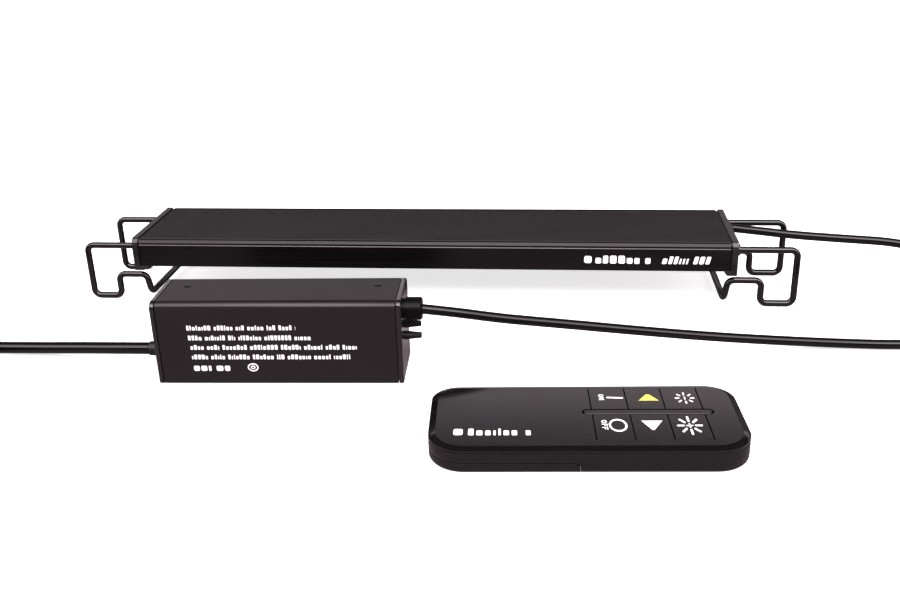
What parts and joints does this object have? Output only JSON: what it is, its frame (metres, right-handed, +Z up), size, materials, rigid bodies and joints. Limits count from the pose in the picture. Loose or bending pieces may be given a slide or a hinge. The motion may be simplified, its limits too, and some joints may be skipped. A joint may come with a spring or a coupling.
{
  "type": "aquarium light",
  "caption": "Slim ribbed light bar on sliding wire hangers for a glass tank, with a boxed dimming driver, a flat remote control and their cables.",
  "frame": {"origin": "middle of the footprint of the lamp, driver and remote, on the surface they stand on", "axes": "+X along the lamp bar, +Y from the driver and remote towards the lamp, +Z up"},
  "size_m": [0.6118, 0.2335, 0.0376],
  "materials": {
    "anodised_black": "satin black anodised, fine drawn lines",
    "cap_plastic": "fine spark texture",
    "wire_black": "gloss black enamel",
    "black_rubber": "soft matt",
    "cable_jacket": "smooth satin PVC",
    "screw_steel": "passivated",
    "board_white": "solder mask",
    "board_green": "solder mask",
    "led_phosphor": "phosphor gel",
    "clear_acrylic": "polished",
    "driver_black": "satin black",
    "winding": "enamelled copper",
    "component_black": "moulded",
    "bare_aluminium": "mill finish",
    "cap_gloss": "smooth satin",
    "remote_gloss": "high gloss",
    "remote_satin": "satin",
    "cell_steel": "stamped steel",
    "indicator_red": "translucent",
    "pin_brass": "nickel-plated brass",
    "print_white": "screen-printed ink",
    "print_yellow": "screen-printed ink"
  },
  "bodies": {
    "lamp": {"housing_extrusion": "anodised_black", "left_end_cap": "cap_plastic", "right_end_cap": "cap_plastic", "end_cap_gaskets": "black_rubber", "end_cap_screws": "screw_steel", "led_board": "board_white", "led_chips": "led_phosphor", "lens_cover": "clear_acrylic", "led_leads": "black_rubber", "lamp_cable_gland": "black_rubber", "driver_case": "driver_black", "driver_left_cap": "cap_gloss", "driver_right_cap": "cap_gloss", "driver_board": "board_green", "driver_transformer": "winding", "driver_choke": "winding", "driver_capacitors": "component_black", "driver_heat_sink": "bare_aluminium", "driver_radio_board": "board_green", "gland_body": "component_black", "gland_nut": "component_black", "port_plugs": "black_rubber", "mains_bush": "black_rubber", "lamp_cable_run": "cable_jacket", "lamp_cable_coil": "cable_jacket", "driver_cable_run": "cable_jacket", "mains_lead_run": "cable_jacket", "mains_lead_coil": "cable_jacket", "mains_lead_tail": "cable_jacket", "plug_body": "cable_jacket", "plug_pins": "pin_brass"},
    "left_bracket": {"left_bracket_wire": "wire_black", "left_arm_stops": "screw_steel"},
    "right_bracket": {"right_bracket_wire": "wire_black", "right_arm_stops": "screw_steel"},
    "remote": {"remote_bottom_shell": "remote_satin", "remote_top_shell": "remote_gloss", "remote_centre_rib": "remote_gloss", "remote_board": "board_green", "remote_dome_switches": "cell_steel", "remote_indicator": "indicator_red", "remote_coin_cell": "cell_steel", "remote_cell_holder": "component_black", "remote_screws": "screw_steel"},
    "battery_cover": {"remote_battery_cover": "remote_satin"},
    "key_on": {"key_on": "remote_gloss"},
    "key_warmer": {"key_warmer": "remote_gloss"},
    "key_dimmer": {"key_dimmer": "remote_gloss"},
    "key_off": {"key_off": "remote_gloss"},
    "key_cooler": {"key_cooler": "remote_gloss"},
    "key_brighter": {"key_brighter": "remote_gloss"}
  },
  "joints": [
    {"name": "left_bracket_slide", "type": "slide", "parent": "lamp", "child": "left_bracket", "axis": [-1, 0, 0], "range_m": [-0.02, 0.048]},
    {"name": "right_bracket_slide", "type": "slide", "parent": "lamp", "child": "right_bracket", "axis": [1, 0, 0], "range_m": [-0.02, 0.048]},
    {"name": "remote_lift", "type": "slide", "parent": "lamp", "child": "remote", "axis": [0, 0, 1], "range_m": [0, 0.1]},
    {"name": "battery_cover_slide", "type": "slide", "parent": "remote", "child": "battery_cover", "axis": [-0.9983, -0.0576, 0], "range_m": [0, 0.062]},
    {"name": "key_on_press", "type": "hinge", "parent": "remote", "child": "key_on", "pos_m": [0.08137, -0.05562, 0.0095], "axis": [0.9983, 0.0576, 0], "range_deg": [0, 1.3], "stiffness_Nm_per_rad": 0.7},
    {"name": "key_warmer_press", "type": "hinge", "parent": "remote", "child": "key_warmer", "pos_m": [0.09535, -0.05481, 0.0095], "axis": [0.9983, 0.0576, 0], "range_deg": [0, 1.3], "stiffness_Nm_per_rad": 0.7},
    {"name": "key_dimmer_press", "type": "hinge", "parent": "remote", "child": "key_dimmer", "pos_m": [0.10933, -0.054, 0.0095], "axis": [0.9983, 0.0576, 0], "range_deg": [0, 1.3], "stiffness_Nm_per_rad": 0.7},
    {"name": "key_off_press", "type": "hinge", "parent": "remote", "child": "key_off", "pos_m": [0.08359, -0.09399, 0.0095], "axis": [-0.9983, -0.0576, 0], "range_deg": [0, 1.3], "stiffness_Nm_per_rad": 0.7},
    {"name": "key_cooler_press", "type": "hinge", "parent": "remote", "child": "key_cooler", "pos_m": [0.09756, -0.09319, 0.0095], "axis": [-0.9983, -0.0576, 0], "range_deg": [0, 1.3], "stiffness_Nm_per_rad": 0.7},
    {"name": "key_brighter_press", "type": "hinge", "parent": "remote", "child": "key_brighter", "pos_m": [0.11154, -0.09238, 0.0095], "axis": [-0.9983, -0.0576, 0], "range_deg": [0, 1.3], "stiffness_Nm_per_rad": 0.7}
  ]
}
